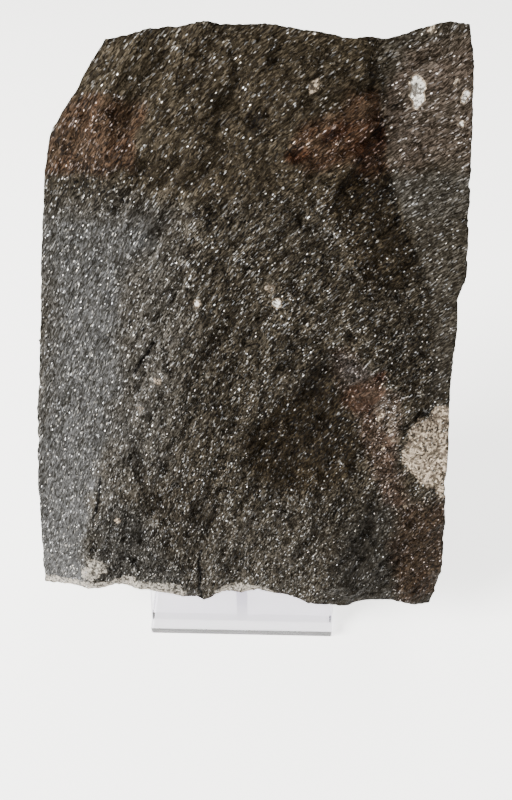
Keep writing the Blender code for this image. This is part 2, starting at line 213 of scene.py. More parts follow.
def depth_inside(outline, spot):
    """How deep inside a closed outline a point is, negative outside it."""
    across = [u * MM for u, _ in outline]
    upward = [v * MM for _, v in outline]
    sideways = max(min(across) - spot.x, spot.x - max(across))
    beyond = max(sideways, min(upward) - spot.y, spot.y - max(upward))
    if beyond > FAR_OUTSIDE:
        return -beyond
    closed = outline + outline[:1]
    inside = False
    for (u0, v0), (u1, v1) in zip(closed, closed[1:]):
        if (v0 * MM > spot.y) != (v1 * MM > spot.y):
            crossing = u0 + (u1 - u0) * (spot.y / MM - v0) / (v1 - v0)
            inside ^= spot.x < crossing * MM
    return line_distance(closed, spot) * (1 if inside else -1)


def area_share(outline, spot, soft):
    """1 inside an outline and 0 outside it, with a soft border."""
    return soft_step(depth_inside(outline, spot), -soft, soft)


def flank_share(spot):
    """1 on the smoother left flank."""
    wave = noise.noise(Vector((spot.x, spot.y, 0)) / FLANK_WAVE) * FLANK_WAVE / 2
    share = soft_step(across_at(FLANK_LINE, spot.y) + wave - spot.x, *FLANK_BORDER)
    return share * soft_step(spot.y, *FLANK_TOP)


def panel_share(spot):
    """1 on the smooth panel along the right side."""
    share = soft_step(spot.x - across_at(PANEL_LINE, spot.y), 0, PANEL_BORDER)
    return share * soft_step(spot.y, *PANEL_FOOT)


print("the panel starts at u =", round(across_at(PANEL_LINE, 90 * MM) / MM, 1), "mm, 90 mm up")

# %% [markdown]
# The relief itself is a sum of simple forms: long ropy ridges, chips that break along flat
# little planes, and rounded grains. Each one samples noise in grain coordinates divided by the
# size of the form, which stretches it along the grain. A billow, the size of a noise value
# without its sign, gives rounded backs with sharp creases between them, as broken grains have.

# %% Relief of the broken surface
RIDGE = Vector((19, 4.6, 4.6)) * MM
RIDGE_HEIGHT = 0.5 * MM
CHIP = Vector((6.5, 3, 3)) * MM
CHIP_TILT = 0.3
CHIP_STEP = 0.12 * MM
CHIP_SPREAD = 31.7
LUMP = Vector((3.4, 1.5, 1.5)) * MM
LUMP_HEIGHT = 0.44 * MM
GRAIN = Vector((1.7, 0.85, 0.85)) * MM
GRAIN_HEIGHT = 0.34 * MM
BILLOW_GAIN = 2.6
SMOOTH_PART = 0.32


def scaled(place, size):
    """A place counted in sizes of a form, for sampling noise."""
    return Vector((place.x / size.x, place.y / size.y, place.z / size.z))


def ridges(place):
    """Long ropy ridges, from -1 to 1."""
    wave = noise.noise(scaled(place, RIDGE))
    return math.cos(wave * math.pi * 2)


def chips(place):
    """Flat little planes with random tilts, one to each cell of a random honeycomb."""
    here = scaled(place, CHIP)
    _, centres = noise.voronoi(here)
    centre = centres[0]
    tilt = noise.cell_vector(centre * CHIP_SPREAD)
    slope = (here - centre).dot(tilt) * CHIP.y * CHIP_TILT
    return slope + (tilt.z - 0.5) * CHIP_STEP


def billow(place, size):
    """Rounded backs with sharp creases between them, from 0 in a crease to about 1."""
    return min(abs(noise.noise(scaled(place, size))) * BILLOW_GAIN, 1)


def surface_relief(place, rough):
    """How far the fine surface stands out, for a place in grain coordinates."""
    height = ridges(place) * RIDGE_HEIGHT
    height += chips(place)
    height += (billow(place, LUMP) - 0.5) * LUMP_HEIGHT
    height *= rough
    height += (billow(place, GRAIN) - 0.5) * GRAIN_HEIGHT * (0.5 + 0.5 * rough)
    return height


print("relief of one spot", round(surface_relief(Vector((0.01, 0.02, 0)), 1) / MM, 3), "mm")

# %% [markdown]
# Some features can be seen one by one, and each is given its own place: small pits where a
# grain fell out, short cracks, the thin raised arc around the shell-shaped scar, and bright
# knobs on the ridges. Each adds its own small height. A crack is too narrow for the mesh, so
# here it only gets a shallow groove, and the material later paints shade into its middle.

# %% Features placed one by one
PITS = [(2.4, 113.5, 2), (6.5, 124.9, 1.8), (-16.2, 87, 2), (-6, 98.1, 1.8), (-24.8, 36.4, 1.9),
        (-9.6, 22, 1.5), (-18.3, 16, 1.8), (-25.3, 115.1, 1.6), (-10.4, 87.5, 1.8), (-12, 84, 1.6)]
KNOBS = [(-10.9, 98.5, 1.3), (-10.3, 93.5, 1.6), (-20.2, 88.4, 1.6), (-18.4, 59.5, 1.8),
         (-23, 53, 1.8), (-22.1, 21.7, 1.8), (-9.6, 76.3, 1.2)]
CRACKS = [[(-10.4, -3), (-10.9, 2), (-10.3, 6), (-10.8, 10.5), (-10, 14)],
          [(-24.4, 60.8), (-22.6, 63.4), (-19.6, 68)], [(-34, 34.5), (-35.1, 28), (-36.6, 23)]]
CRACK_WIDTH = 0.7 * MM
CRACK_DEPTH = 0.5 * MM
SCAR_ARC = [(9.5, 100.5), (14.1, 96.9), (20.2, 91.9), (23.8, 86.8), (26.8, 81.6)]
ARC_WIDTH = 0.9 * MM
ARC_HEIGHT = 0.35 * MM
PIT_DEPTH = 0.75 * MM
KNOB_HEIGHT = 0.5 * MM


def bell(distance, width):
    """A smooth bump that is 1 at its middle and 0 at its width."""
    return 1 - soft_step(distance, 0, width)


def hand_relief(spot):
    """The height that the listed features add at a point of the face."""
    height = 0.0
    for u, v, size in PITS:
        height -= bell((spot - Vector((u, v)) * MM).length, size * MM) * PIT_DEPTH
    for u, v, size in KNOBS:
        height += bell((spot - Vector((u, v)) * MM).length, size * MM) * KNOB_HEIGHT
    for crack in CRACKS:
        height -= bell(line_distance(crack, spot), CRACK_WIDTH) * CRACK_DEPTH
    height += bell(line_distance(SCAR_ARC, spot), ARC_WIDTH) * ARC_HEIGHT
    return height


print(len(PITS), "pits,", len(KNOBS), "knobs and", len(CRACKS), "cracks")

# %% [markdown]
# Every point now moves along its own normal. Three things hold it back. The flank and the
# panel are smoother than the middle, the rim of the show face keeps the outline of the solid,
# and the slab may not grow into the stand, so hardly anything stands out where they touch.

# %% Move the points of the slab
STAND_HALF = STAND_HIGH.x + 2 * MM
REST_TOP = 84 * MM
FRONT_DEPTH = -9 * MM
SEAT_ROOM = 0.08 * MM
RIM_FACING = 0.6
RIM_WIDTH = 6 * MM
RIM_PART = 0.15
HAND_FACING = 0.3
BACK_PART = 0.7


def near_stand(place):
    """True on the hidden faces that lie against the stand."""
    return abs(place.x) < STAND_HALF and place.y < REST_TOP and place.z < FRONT_DEPTH / 3


def rim_tree(shape):
    """The rim of the show face as a tree that finds its point nearest to any other."""
    rim = [vert for vert in shape.verts if vert.normal.dot(FACE_OUT) < RIM_FACING]
    rim = [vert.co for vert in rim if (TO_FACE @ vert.co).z > FRONT_DEPTH / 2]
    tree = kdtree.KDTree(len(rim))
    for number, point in enumerate(rim):
        tree.insert(point, number)
    tree.balance()
    return tree


def roughness_at(place, from_rim):
    """1 where the rock is rough, less on the smooth parts of the show face and at its rim."""
    if place.z < FRONT_DEPTH:
        return BACK_PART
    smooth = max(flank_share(place.xy), panel_share(place.xy))
    rough = 1 - (1 - SMOOTH_PART) * smooth
    inner = soft_step(from_rim, 0, RIM_WIDTH)
    return rough * inner + RIM_PART * (1 - inner)


def roughen(shape):
    """Move each point of the slab along its normal by the relief."""
    shape.normal_update()
    rim = rim_tree(shape)
    moves = []
    for vert in shape.verts:
        place = TO_FACE @ vert.co
        facing = vert.normal.dot(FACE_OUT)
        from_rim = rim.find(vert.co)[2]
        height = surface_relief(grain_place(place), roughness_at(place, from_rim))
        if facing > HAND_FACING and place.z > FRONT_DEPTH:
            height += hand_relief(place.xy)
        if near_stand(place):
            height = min(height, SEAT_ROOM)
        moves.append(vert.normal * height)
    for vert, move in zip(shape.verts, moves):
        vert.co += move
    return max(move.length for move in moves)


largest = roughen(rock_shape)
print("largest move", round(largest / MM, 2), "mm")

# %% [markdown]
# The colours of the parts follow the same outlines. They could be masks in the material, but
# an outline of many points is clumsy there, so each point of the mesh carries five numbers
# that the material reads: calcite, the cream mineral; stain, towards red brown; cool, towards
# blue grey, partly a painted sky reflection; tone, paler or darker than the middle, partly
# painted light and shade; and calm, where the grain is fine and even.
#
# Calcite comes first. It fills small round hollows, one large patch at the right and a thin
# crust along the lower edge. Its number is a depth, in millimetres, so that the material can
# cut its border sharply between two points of the mesh.

# %% Places of the calcite
CALCITE_WHITES = [(34.6, 121.3, 1.2), (35.6, 120.4, 1.2), (34.8, 119, 1.4), (35.5, 118.2, 1.2),
                  (35.2, 117.2, 0.9), (45, 119.2, 0.8), (44.5, 118.2, 0.8), (44.6, 113.8, 0.7),
                  (7.8, 77.4, 1.1), (-9.5, 77.3, 0.8)]
CALCITE_SPOTS = [(48.9, 31.4, 1.3), (43, 121.3, 0.5), (36.7, 130.6, 0.8), (14.3, 120.1, 1.1),
                 (5.9, 80.7, 0.9), (-18.4, 59.5, 0.8), (-37.2, 8, 2.6), (-39.2, 6, 2),
                 (-30.3, 23.5, 0.8), (-23, 52.5, 0.8), (35.2, 47.1, 0.5), (35.9, 44.6, 0.5),
                 (33.7, 51.6, 0.6), (32.3, 49.9, 0.5), (33.7, 42.4, 0.4), (39.5, 30.5, 0.5),
                 (40.3, 27.3, 0.6)]
CALCITE_PATCH = [(54, 53.5), (45.5, 52.8), (44.2, 50.4), (41, 49), (39, 46.5), (38.4, 41),
                 (39.2, 38), (41.5, 35.6), (44, 33.4), (54, 31)]
CRUST_LEFT = [(-56, 2.8), (-46.8, 3.4), (-42, 4), (-34.3, 4.2), (-29.9, 4.8), (-23.4, 3.6), (-19.6, 4),
              (-16, 2.8), (-14.3, 0.6), (-14, -4), (-56, -4)]
CRUST_RIGHT = [(-8, -3), (-7.4, 1.4), (-4.1, 3), (-0.2, 4), (6.3, 3.4), (10, 1), (11, -3)]
CRUST_LEFT_INSET = 0.3 * MM
CRUST_RIGHT_INSET = 0.9 * MM
CALCITE_WAVE = 1.6 * MM
CALCITE_WOBBLE = 0.8
CREAM_DEEPEST = 0.5
WHITE_SLOPE = 3
WHITE_START = 0.4
WHITE_DEEPEST = 2
NO_CALCITE = -1.0
NOISE_SLICES = {"calcite": 2.2, "stain": 5.5, "cool": 9.5, "tone": 7.5, "calm": 3.5}


def blobs(spots, spot):
    """How deep inside the nearest of some round spots a point is, in metres."""
    return max(size * MM - (spot - Vector((u, v)) * MM).length for u, v, size in spots)


def ragged(spot, size, offset):
    """Noise from -1 to 1 that roughens a border."""
    return noise.noise(Vector((spot.x / size, spot.y / size, offset)))


def calcite_at(spot):
    """Above 0 inside the cream mineral: the depth inside its border, in millimetres."""
    wobble = ragged(spot, CALCITE_WAVE, NOISE_SLICES["calcite"]) * CALCITE_WOBBLE
    patch = max(depth_inside(CALCITE_PATCH, spot), blobs(CALCITE_SPOTS, spot))
    left = depth_inside(CRUST_LEFT, spot) - CRUST_LEFT_INSET
    right = depth_inside(CRUST_RIGHT, spot) - CRUST_RIGHT_INSET
    cream = min(max(patch, left, right) / MM + wobble, CREAM_DEEPEST)
    white = blobs(CALCITE_WHITES, spot) / MM * WHITE_SLOPE + WHITE_START
    return max(cream, min(white + wobble, WHITE_DEEPEST), NO_CALCITE)


print(len(CALCITE_WHITES), "white spots and", len(CALCITE_SPOTS), "cream ones")

# %% [markdown]
# Iron has stained parts of the rock red brown: two patches near the top, a strip that runs
# down to the calcite, a smooth spot in it and the lower right corner. A table holds each
# outline with the strength of its stain and the width of its soft border in millimetres.
# Where two overlap, the stronger counts. Noise moves the points, so that borders are ragged.

# %% Places of the stains
BROWN_LEFT = [(-44, 106), (-37.6, 112), (-35.3, 117), (-30, 118.5), (-19.7, 117), (-20.5, 103.6),
              (-44, 103.5)]
BROWN_RIGHT = [(9.9, 109.4), (11.7, 112.3), (17.7, 115.2), (21.2, 119.1), (26, 119.7), (28.8, 114.7),
               (29.7, 104.1), (22, 104.9), (12, 103.9)]
BROWN_DEEP = [(17.8, 114.6), (28.1, 115.3), (29.7, 104.1), (22.6, 105.5), (19.3, 108.9)]
BROWN_DISC = [(24.3, 53.5), (25.8, 57.6), (29.1, 59.6), (32.7, 58.9), (33.4, 56.7), (31.9, 54.1),
              (30.3, 51.8), (26.4, 50.5)]
BROWN_CUTS = [[(24.2, 107.2), (28, 112)], [(16.9, 110.1), (19.6, 111.6)], [(9.6, 107.1), (12.2, 108.4)],
              [(31.6, 60.2), (32.6, 60.5)]]
ROSE_TOP = [(28.4, 119.2), (31.5, 125.6), (40, 130), (52, 130), (52, 105), (30.2, 104.6)]
ROSE_STRIP = [(19.8, 66.8), (23.4, 66.7), (29.8, 61.7), (33.9, 57), (36.9, 54.9), (38.3, 50),
              (37.6, 40.2), (40.1, 31.9), (42.1, 26.7), (36, 26.6), (32.3, 35.1), (29.2, 43.3),
              (25.9, 50.5), (24.5, 54.8), (21.1, 61.1)]
ROSE_LILAC = [(20.8, 65.5), (23.4, 66.7), (27.3, 64.1), (29.8, 61.3), (28.7, 59.1), (25.3, 57.5),
              (22.8, 59.8)]
ROSE_BRIGHT = [(31, 51.4), (32.2, 55.2), (33.9, 56.7), (36.4, 54.7), (38.1, 51), (38, 46.9), (35.9, 44.6),
               (33, 46.4)]
ROSE_CORNER = [(38.9, 28.4), (56, 30), (56, 0), (41.2, -2), (37.6, 15.9)]
STAINS = [(BROWN_LEFT, 0.6, 1.2), (BROWN_RIGHT, 0.65, 1.5), (BROWN_DEEP, 0.9, 2), (BROWN_DISC, 0.8, 1),
          (DARK_RECESS, 0.9, 1.5), (ROSE_TOP, 0.3, 2), (ROSE_CORNER, 0.45, 2)]
CUT_STAIN = 1.3
CUT_STAIN_WIDTH = 2 * MM
STRIP_STAIN = 0.55
STRIP_SOFT = 1.5 * MM
PALE_STRIP_LOSS = 0.5
DRIFT_WAVE = 4 * MM
FAR_DRIFT = 1.6 * MM
NEAR_DRIFT = 1.2 * MM


def drifted(spot, reach, noise_slice):
    """A point moved a little by noise, so that an outline through it turns ragged."""
    across = ragged(spot, DRIFT_WAVE, noise_slice)
    upward = ragged(spot, DRIFT_WAVE, noise_slice + 1)
    return spot + Vector((across, upward)) * reach


def strongest(table, spot):
    """The strongest of a table's areas at a point."""
    return max(amount * area_share(area, spot, soft * MM) for area, amount, soft in table)


def added_up(table, spot):
    """All of a table's areas at a point, added up."""
    return sum(amount * area_share(area, spot, soft * MM) for area, amount, soft in table)


def stain_at(spot):
    """How strong the red-brown stain is, from 0 to 1.3."""
    spot = drifted(spot, FAR_DRIFT, NOISE_SLICES["stain"])
    cut = min(line_distance(line, spot) for line in BROWN_CUTS)
    pale = max(area_share(area, spot, STRIP_SOFT) for area in (ROSE_BRIGHT, ROSE_LILAC))
    strip = STRIP_STAIN * area_share(ROSE_STRIP, spot, STRIP_SOFT) * (1 - PALE_STRIP_LOSS * pale)
    return max(strongest(STAINS, spot), CUT_STAIN * bell(cut, CUT_STAIN_WIDTH), strip)


print(len(STAINS) + 1, "stained areas and", len(BROWN_CUTS), "dark red cuts")

# %% [markdown]
# The flank and the panel face another way than the middle and mirror more of the sky, so they
# get a painted sky reflection that makes them bluer; a few other places are cool too. The upper
# part and two of the facets are a warmer brown. The same kind of table holds these areas, one
# for the cool ones and one for the warm ones.

# %% Cool and warm places
PALE_LEFT = [(-34, 28), (-16, 36), (-11, 70), (-12, 98), (-30, 98), (-44, 98), (-40, 60)]
GREY_BAND = [(30.3, 104.1), (52, 104.7), (52, 95.4), (35, 94.6)]
GREY_FOOT = [(-40, 0), (-38.5, 20), (-33, 32), (-24, 26), (-12, 0)]
WARM_TOP = [(-50, 103), (-40, 128), (28, 134), (29, 104), (20, 96), (9, 100), (-14, 98), (-25, 103)]
COOLS = [(PALE_LEFT, 0.5, 8), (GREY_BAND, 0.55, 1.5), (GREY_FOOT, 0.7, 4), (ROSE_TOP, 0.35, 2),
         (ROSE_STRIP, 0.25, 2), (ROSE_LILAC, 0.8, 1.5), (DARK_CORNER, 0.6, 4), (DARK_HOLLOW, 0.4, 1.5)]
WARMS = [(WARM_TOP, 0.4, 3), (DARK_FACET, 0.7, 2), (DARK_SCAR, 0.5, 2)]
FLANK_COOL = 1.1
FLANK_FOOT_COOL = 0.4
FLANK_FOOT = (50 * MM, 0)
PANEL_COOL = 0.3
LOW_COOL = 0.2
LOW_PART = (35 * MM, 20 * MM)
CORNER_SOFT = 2 * MM


def cool_at(spot):
    """Above 0 towards blue grey, below 0 towards a warmer brown."""
    spot = drifted(spot, NEAR_DRIFT, NOISE_SLICES["cool"])
    # painted sky reflection: the flank and the panel mirror more of the sky
    flank = flank_share(spot) * (FLANK_COOL + FLANK_FOOT_COOL * soft_step(spot.y, *FLANK_FOOT))
    low = LOW_COOL * soft_step(spot.y, *LOW_PART)
    share = max(flank, low, PANEL_COOL * panel_share(spot), strongest(COOLS, spot))
    share *= 1 - area_share(ROSE_CORNER, spot, CORNER_SOFT)
    return share - added_up(WARMS, spot)


print(len(COOLS), "cool areas and", len(WARMS), "warm ones")

# %% [markdown]
# Some parts of the face are darker or paler than their shape alone explains under the lamps.
# The tone puts that back, partly as painted light and shade: painted light on the flank, which
# faces the key light, and painted shade on the facets that turn away from it, in recesses,
# hollows and pits and along steps; partly as the rock's own paler and darker grains. It comes
# as areas as before, thin lines for edges and clefts, and the pits and knobs given one by one.

# %% Pale and dark places
TAN_STREAK = [(36.8, 120.2), (37.2, 118.6), (36.3, 116.3), (35, 112.2)]
PALE_ZONE = [(-11, 0), (-10.4, 11), (-6.4, 20), (-0.2, 27.8), (18.9, 28.2), (21, 0)]
PALE_CORNER = [(-36, 114), (-26, 128), (-12, 128), (-12, 110), (-30, 106)]
PALE_LINES = [[(-35.8, 33), (-36.8, 28), (-38.4, 22)], [(27.8, 117), (30, 115.8), (32, 115)],
              [(33.8, 57.5), (31.5, 52.5), (33.5, 50)], [(35.5, 51), (36, 44)],
              [(37.6, 123.9), (39.2, 124.2)]]
# Painted shadow: the dark lines follow steps, notches and clefts, and the panel's shadow lies along the
# step down to the panel.
DARK_LINES = [[(38, 46.8), (40.6, 49.9), (43.8, 51.6), (45, 53.6)], [(20.7, 102), (24.2, 106.7)],
              [(-37.8, 20), (-38, 12)], [(28.6, 117.6), (31.3, 117)], [(35, 125.5), (38.5, 125)],
              [(19.5, 99), (22.5, 103)], [(29.5, 100), (32, 103)], [(1.2, 112.4), (3.6, 114.6)],
              [(24.6, 117.6), (25.4, 123)]]
DARK_HEAD = [(20.7, 102.5), (24.2, 105.5), (30.5, 103.5), (31.7, 98.8), (26.6, 97.8), (22.3, 99.4)]
PANEL_SHADOW = [(42.2, 68), (38.5, 84.4), (33.5, 94.6), (28.9, 104.3), (28.1, 114.7)]
# Painted shade: the dark head, hollow, scar, recess and corner lie where the face turns away from the key
# light or sinks in. The other areas are partly the rock's own colour and partly painted light and shade.
TONES = [(PALE_CORNER, 0.3, 4), (BROWN_RIGHT, 0.2, 2), (GREY_BAND, 0.25, 1.5), (ROSE_TOP, 0.38, 2),
         (PALE_ZONE, 0.25, 4), (GREY_FOOT, 0.1, 4), (ROSE_STRIP, 0.1, 1.5), (ROSE_BRIGHT, 0.4, 1.5),
         (ROSE_LILAC, 0.1, 1.5), (BROWN_DISC, -0.12, 1), (DARK_HEAD, -0.28, 1.5),
         (DARK_HOLLOW, -0.3, 1.5), (DARK_SCAR, -0.32, 0.8), (DARK_RECESS, -0.45, 0.7),
         (DARK_BAND, -0.3, 1.5), (DARK_CORNER, -0.25, 4), (DARK_MOTTLE, -0.2, 2)]
LINE_TONES = [([PANEL_SHADOW], -0.55, 1), (BROWN_CUTS, -0.8, 1.2), ([TAN_STREAK], 0.45, 1.5),
              (PALE_LINES, 0.9, 1.3), (DARK_LINES, -0.9, 1.1), ([SCAR_ARC], 0.7, 0.9)]
FLANK_TONE = 0.78
FLANK_FOOT_TONE = 0.7
FLANK_HEAD_TONE = -0.3
FLANK_HEAD = (75 * MM, 95 * MM)
PALE_LEFT_TONE = 0.5
PALE_LEFT_SOFT = 6 * MM
PANEL_TONE = 0.15
EDGE_TONE = -0.25
EDGE_ACROSS = (-42 * MM, -50 * MM)
EDGE_UPWARD = (60 * MM, 35 * MM)
FACET_TONE = -0.55
FACET_SOFT = 1.5 * MM
FACET_FADE = (27 * MM, 42 * MM)
PIT_TONE = -0.4
PIT_EDGE = 0.5 * MM
KNOB_TONE = 0.6
KNOB_EDGE = 0.8 * MM
PALEST = 1.5
DARKEST = -1


def line_tone(spot):
    """What the thin pale and dark lines add to the tone."""
    tone = 0.0
    for lines, amount, width in LINE_TONES:
        for line in lines:
            tone += amount * bell(line_distance(line, spot), width * MM)
    return tone


def tone_at(spot):
    """Below 0 where a part is darker than the middle of the face, above 0 where it is paler."""
    spot = drifted(spot, NEAR_DRIFT, NOISE_SLICES["tone"])
    flank = flank_share(spot)
    # painted light on the flank, which faces the key light
    flank_tone = FLANK_TONE + FLANK_FOOT_TONE * soft_step(spot.y, *FLANK_FOOT)
    flank_tone += FLANK_HEAD_TONE * soft_step(spot.y, *FLANK_HEAD)
    tone = flank * flank_tone
    tone += PALE_LEFT_TONE * area_share(PALE_LEFT, spot, PALE_LEFT_SOFT) * (1 - flank)
    tone += PANEL_TONE * panel_share(spot) + added_up(TONES, spot) + line_tone(spot)
    tone += EDGE_TONE * soft_step(spot.x, *EDGE_ACROSS) * soft_step(spot.y, *EDGE_UPWARD)
    # painted shade on the dark facet, which turns away from the key light
    tone += FACET_TONE * area_share(DARK_FACET, spot, FACET_SOFT) * soft_step(spot.y, *FACET_FADE)
    # painted shade in the pits
    tone += PIT_TONE * bell(-blobs(PITS, spot), PIT_EDGE)
    tone += KNOB_TONE * bell(-blobs(KNOBS, spot), KNOB_EDGE)
    return max(min(tone, PALEST), DARKEST)


print(len(TONES), "areas and", sum(len(lines) for lines, _, _ in LINE_TONES), "lines of tone")

# %% [markdown]
# The last number says where the grain is fine and even. With all five at hand, every point is
# painted once. The numbers fade out round the edge, because the sides and the back have the
# plain rock's colour. Each crease between two lumps gets a little painted shade in its tone.

# %% Paint the points of the slab
CALMS = [(WARM_TOP, 1, 5), (DARK_SCAR, 0.6, 2), (DARK_FACET, 0.6, 2), (DARK_CORNER, 0.9, 5),
         (BROWN_DISC, 1.6, 1)]
FLANK_CALM = 0.6
CREASE_SHADE = 0.3


def calm_at(spot):
    """0 in coarse grain, 1 in fine and even grain, and more on the smooth brown spot."""
    spot = drifted(spot, FAR_DRIFT, NOISE_SLICES["calm"])
    return max(panel_share(spot), FLANK_CALM * flank_share(spot), strongest(CALMS, spot))


def paint(shape):
    """Store the five numbers on the points of the slab."""
    names = ("tone", "cool", "stain", "calcite", "calm")
    tone, cool, stain, calcite, calm = (shape.verts.layers.float.new(name) for name in names)
    for vert in shape.verts:
        place = TO_FACE @ vert.co
        spot = place.xy
        # painted shade in each crease between lumps, painted light on their backs
        vert[tone] = (billow(grain_place(place), LUMP) - 0.5) * CREASE_SHADE
        vert[calcite] = NO_CALCITE
        if place.z > FRONT_DEPTH:
            front = soft_step(place.z, FRONT_DEPTH, FRONT_DEPTH / 3)
            vert[tone] += tone_at(spot) * front
            vert[cool] = cool_at(spot) * front
            vert[stain] = stain_at(spot) * front
            vert[calm] = calm_at(spot) * front
            vert[calcite] = calcite_at(spot)


paint(rock_shape)
print("painted", len(rock_shape.verts), "points")

# %% [markdown]
# The finished bmesh becomes an object, rides on the only body and takes the place of the plain
# solid. Smooth shading suits it, because its broken look comes from its points and not from
# the edges of its faces.

# %% Make the rock an object
def make_piece(name, shape, body):
    """Turn a bmesh into an object that rides on a body."""
    mesh = bpy.data.meshes.new(name)
    for face in shape.faces:
        face.smooth = True
    shape.to_mesh(mesh)
    shape.free()
    piece = bpy.data.objects.new(name, mesh)
    bpy.context.scene.collection.objects.link(piece)
    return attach(piece, body)


rock = make_piece("lamprophyre_rock", rock_shape, "root")
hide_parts("lamprophyre_slab")
print("rock triangles", sum(len(face.vertices) - 2 for face in rock.data.polygons))

# %% [markdown]
# Materials are nodes, and wiring them one link at a time hides what they work out. So a small
# class wraps a socket. Adding or multiplying two wrapped sockets adds a Math node, and one
# method adds any other node, from its settings and the values or links of its sockets.

# %% A small class for shader maths
class Wire:
    """A value that runs through a material's nodes."""

    def __init__(self, tree, socket=None):
        self.tree = tree
        self.socket = socket

    def node(self, kind, settings=None, sockets=None, output=0):
        """Add a node: its settings first, then the values or links of its sockets."""
        new = self.tree.nodes.new("ShaderNode" + kind)
        for name, value in (settings or {}).items():
            if name == "stops":
                set_stops(new.color_ramp, value)
            else:
                setattr(new, name, value)
        for name, value in (sockets or {}).items():
            plug(self.tree, new.inputs[name], value)
        return Wire(self.tree, new.outputs[output])

    def maths(self, operation, *values):
        """Add a Math node."""
        return self.node("Math", {"operation": operation}, dict(enumerate(values)))

    def __add__(self, other):
        return self.maths("ADD", self, other)

    __radd__ = __add__

    def __sub__(self, other):
        return self.maths("SUBTRACT", self, other)

    def __rsub__(self, other):
        return self.maths("SUBTRACT", other, self)

    def __mul__(self, other):
        return self.maths("MULTIPLY", self, other)

    __rmul__ = __mul__

    def __truediv__(self, other):
        return self.maths("DIVIDE", self, other)

    def at_most(self, other):
        """The smaller of two values."""
        return self.maths("MINIMUM", self, other)

    def at_least(self, other):
        """The larger of two values."""
        return self.maths("MAXIMUM", self, other)

    def step(self, low, high, to_low=0.0, to_high=1.0):
        """Rise from one value to another along a soft S."""
        sockets = {"Value": self, "From Min": low, "From Max": high}
        sockets |= {"To Min": to_low, "To Max": to_high}
        return self.node("MapRange", {"interpolation_type": "SMOOTHSTEP"}, sockets)

    def blend(self, first, second, how="MIX"):
        """Mix two colours by this factor."""
        settings = {"data_type": "RGBA", "blend_type": how}
        return self.node("Mix", settings, {0: self, 6: first, 7: second}, 2)

    def vector(self, operation, *values):
        """Add a Vector Math node."""
        return self.node("VectorMath", {"operation": operation}, dict(enumerate(values)))

    def measure(self, operation, *values):
        """Add a Vector Math node that gives a number."""
        return self.node("VectorMath", {"operation": operation}, dict(enumerate(values)), "Value")

    def times(self, factor):
        """A vector made longer by a number."""
        return self.node("VectorMath", {"operation": "SCALE"}, {0: self, "Scale": factor})

    def channel(self, number):
        """One of the three numbers of a colour or vector."""
        return self.node("SeparateXYZ", None, {0: self}, number)


def plug(tree, socket, value):
    """Link a wire to a socket, or set the socket's own value."""
    if isinstance(value, Wire):
        tree.links.new(value.socket, socket)
    elif socket.type == "RGBA":
        socket.default_value = (*value, 1) if len(value) == 3 else value
    else:
        socket.default_value = value


def set_stops(ramp, stops):
    """Give a colour ramp its stops, as places and colours."""
    while len(ramp.elements) < len(stops):
        ramp.elements.new(1)
    for element, (place, colour) in zip(ramp.elements, stops):
        element.position = place
        element.color = (*colour, 1)


def start_material(name):
    """A new material with its shader and a first wire."""
    material = bpy.data.materials.new(name)
    material.use_nodes = True
    shader = material.node_tree.nodes["Principled BSDF"]
    return material, shader, Wire(material.node_tree)


def set_shader(material, shader, sockets):
    """Set or link sockets of the shader."""
    for name, value in sockets.items():
        plug(material.node_tree, shader.inputs[name], value)


print("shader maths is ready")

# %% [markdown]
# The rock's pattern has to lie along the grain, as its relief does. A Mapping node of type
# Texture takes the object's coordinates to the face frame, and a Vector Rotate node fans them.
# Divided by the size of a flake, the place then feeds a Voronoi texture, whose cells are the
# flakes. Specks and round sparks are finer cells, made in the same way.

# %% Places in the rock's material
FLAKE = Vector((1.05, 0.32, 0.32)) * MM
SPECK = Vector((0.85, 0.21, 0.21)) * MM
SPARK = Vector((0.72, 0.4, 0.4)) * MM
CREASE = Vector((2.6, 0.55, 0.55)) * MM
PATCH = Vector((4.6, 1.4, 1.4)) * MM
CLOUD = Vector((14, 6, 6)) * MM


def face_place(wire):
    """u, v and w of the show face, from the piece's own coordinates."""
    here = wire.node("TexCoord", output="Object")
    sockets = {"Vector": here, "Location": FACE_ORIGIN, "Rotation": FACE_TURN}
    return wire.node("Mapping", {"vector_type": "TEXTURE"}, sockets)


def fanned(wire, place):
    """The place turned into run, span and w, as the relief's points are."""
    lean = place.channel(0) + (place.channel(1) - GRAIN_MIDDLE.y) * GRAIN_CLIMB
    share = (lean / GRAIN_REACH + 0.5).at_least(0).at_most(1)
    turn = share * (GRAIN_STEEP - GRAIN_FLAT) - GRAIN_STEEP
    sockets = {"Vector": place, "Center": GRAIN_MIDDLE, "Angle": turn}
    return wire.node("VectorRotate", {"rotation_type": "Z_AXIS"}, sockets)


def in_units(place, size):
    """A place counted in sizes of a pattern."""
    return place.vector("DIVIDE", place, size)


def noise_at(place, detail=2.0, rough=0.5):
    """Smooth noise around 0.5, one wave to a unit."""
    sockets = {"Vector": place, "Scale": 1.0, "Detail": detail, "Roughness": rough}
    return place.node("TexNoise", None, sockets, "Fac")


def cells_at(place, output):
    """The distance or the random colour of a honeycomb of one cell to a unit."""
    return place.node("TexVoronoi", None, {"Vector": place, "Scale": 1.0}, output)


def attribute(wire, name):
    """A number that the mesh's points carry."""
    return wire.node("Attribute", {"attribute_name": name}, output="Fac")


print("flakes are", round(FLAKE.x / MM, 2), "by", round(FLAKE.y / MM, 2), "mm")
